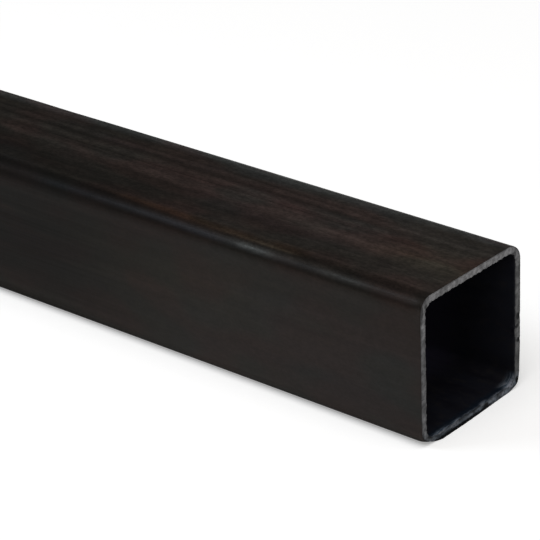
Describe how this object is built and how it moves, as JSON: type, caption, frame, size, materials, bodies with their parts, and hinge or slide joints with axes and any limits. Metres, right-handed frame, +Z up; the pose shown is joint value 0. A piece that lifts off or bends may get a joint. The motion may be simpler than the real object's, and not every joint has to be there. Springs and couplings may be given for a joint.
{
  "type": "square metal tube",
  "caption": "Straight length of dark square steel hollow section with rounded corners and open, square-sawn ends.",
  "frame": {"origin": "middle of the flat side that the tube lies on, halfway along its length", "axes": "+X along the tube's length, +Y across it, +Z up from the side that it lies on"},
  "size_m": [1, 0.04, 0.04],
  "materials": {
    "mill_steel": "satin"
  },
  "bodies": {
    "root": {"square_tube": "mill_steel"}
  },
  "joints": []
}
